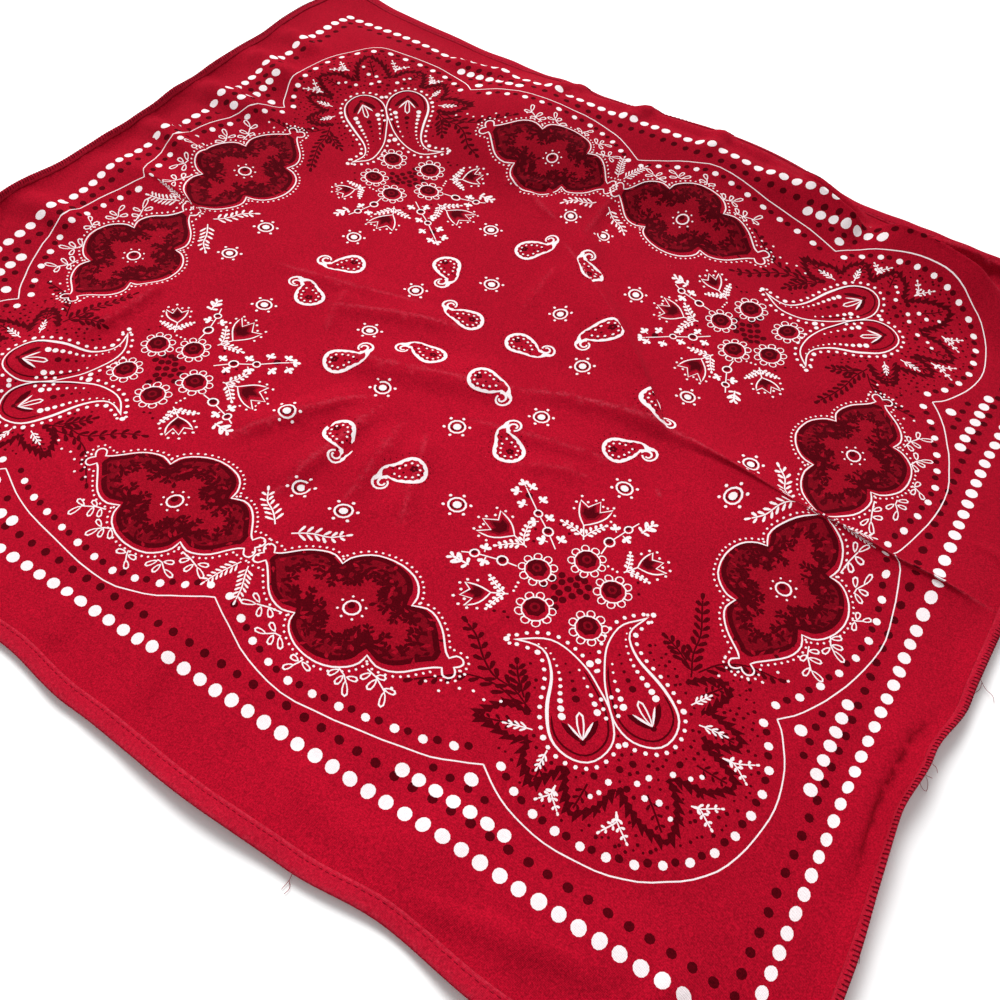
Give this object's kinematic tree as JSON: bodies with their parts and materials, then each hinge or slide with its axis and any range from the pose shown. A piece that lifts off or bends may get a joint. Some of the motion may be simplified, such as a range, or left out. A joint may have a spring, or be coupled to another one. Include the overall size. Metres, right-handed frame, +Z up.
{
  "type": "bandana",
  "caption": "Printed cotton bandana laid out flat, with turned hems front and back, overlocked sides, low billows and curled edges.",
  "frame": {"origin": "Middle of the laid cloth's outline, on the surface that it rests on.", "axes": "+X along the front hem to the right, +Y from the front hem to the back hem, +Z up, out of the printed face."},
  "size_m": [0.56, 0.5232, 0.0242],
  "materials": {
    "printed_cotton": "matte",
    "hemmed_cotton": "matte",
    "overlocked_cotton": "matte"
  },
  "bodies": {
    "root": {"cloth": "printed_cotton", "hem_front": "hemmed_cotton", "hem_back": "hemmed_cotton", "edge_right": "overlocked_cotton", "edge_left": "overlocked_cotton"}
  },
  "joints": []
}
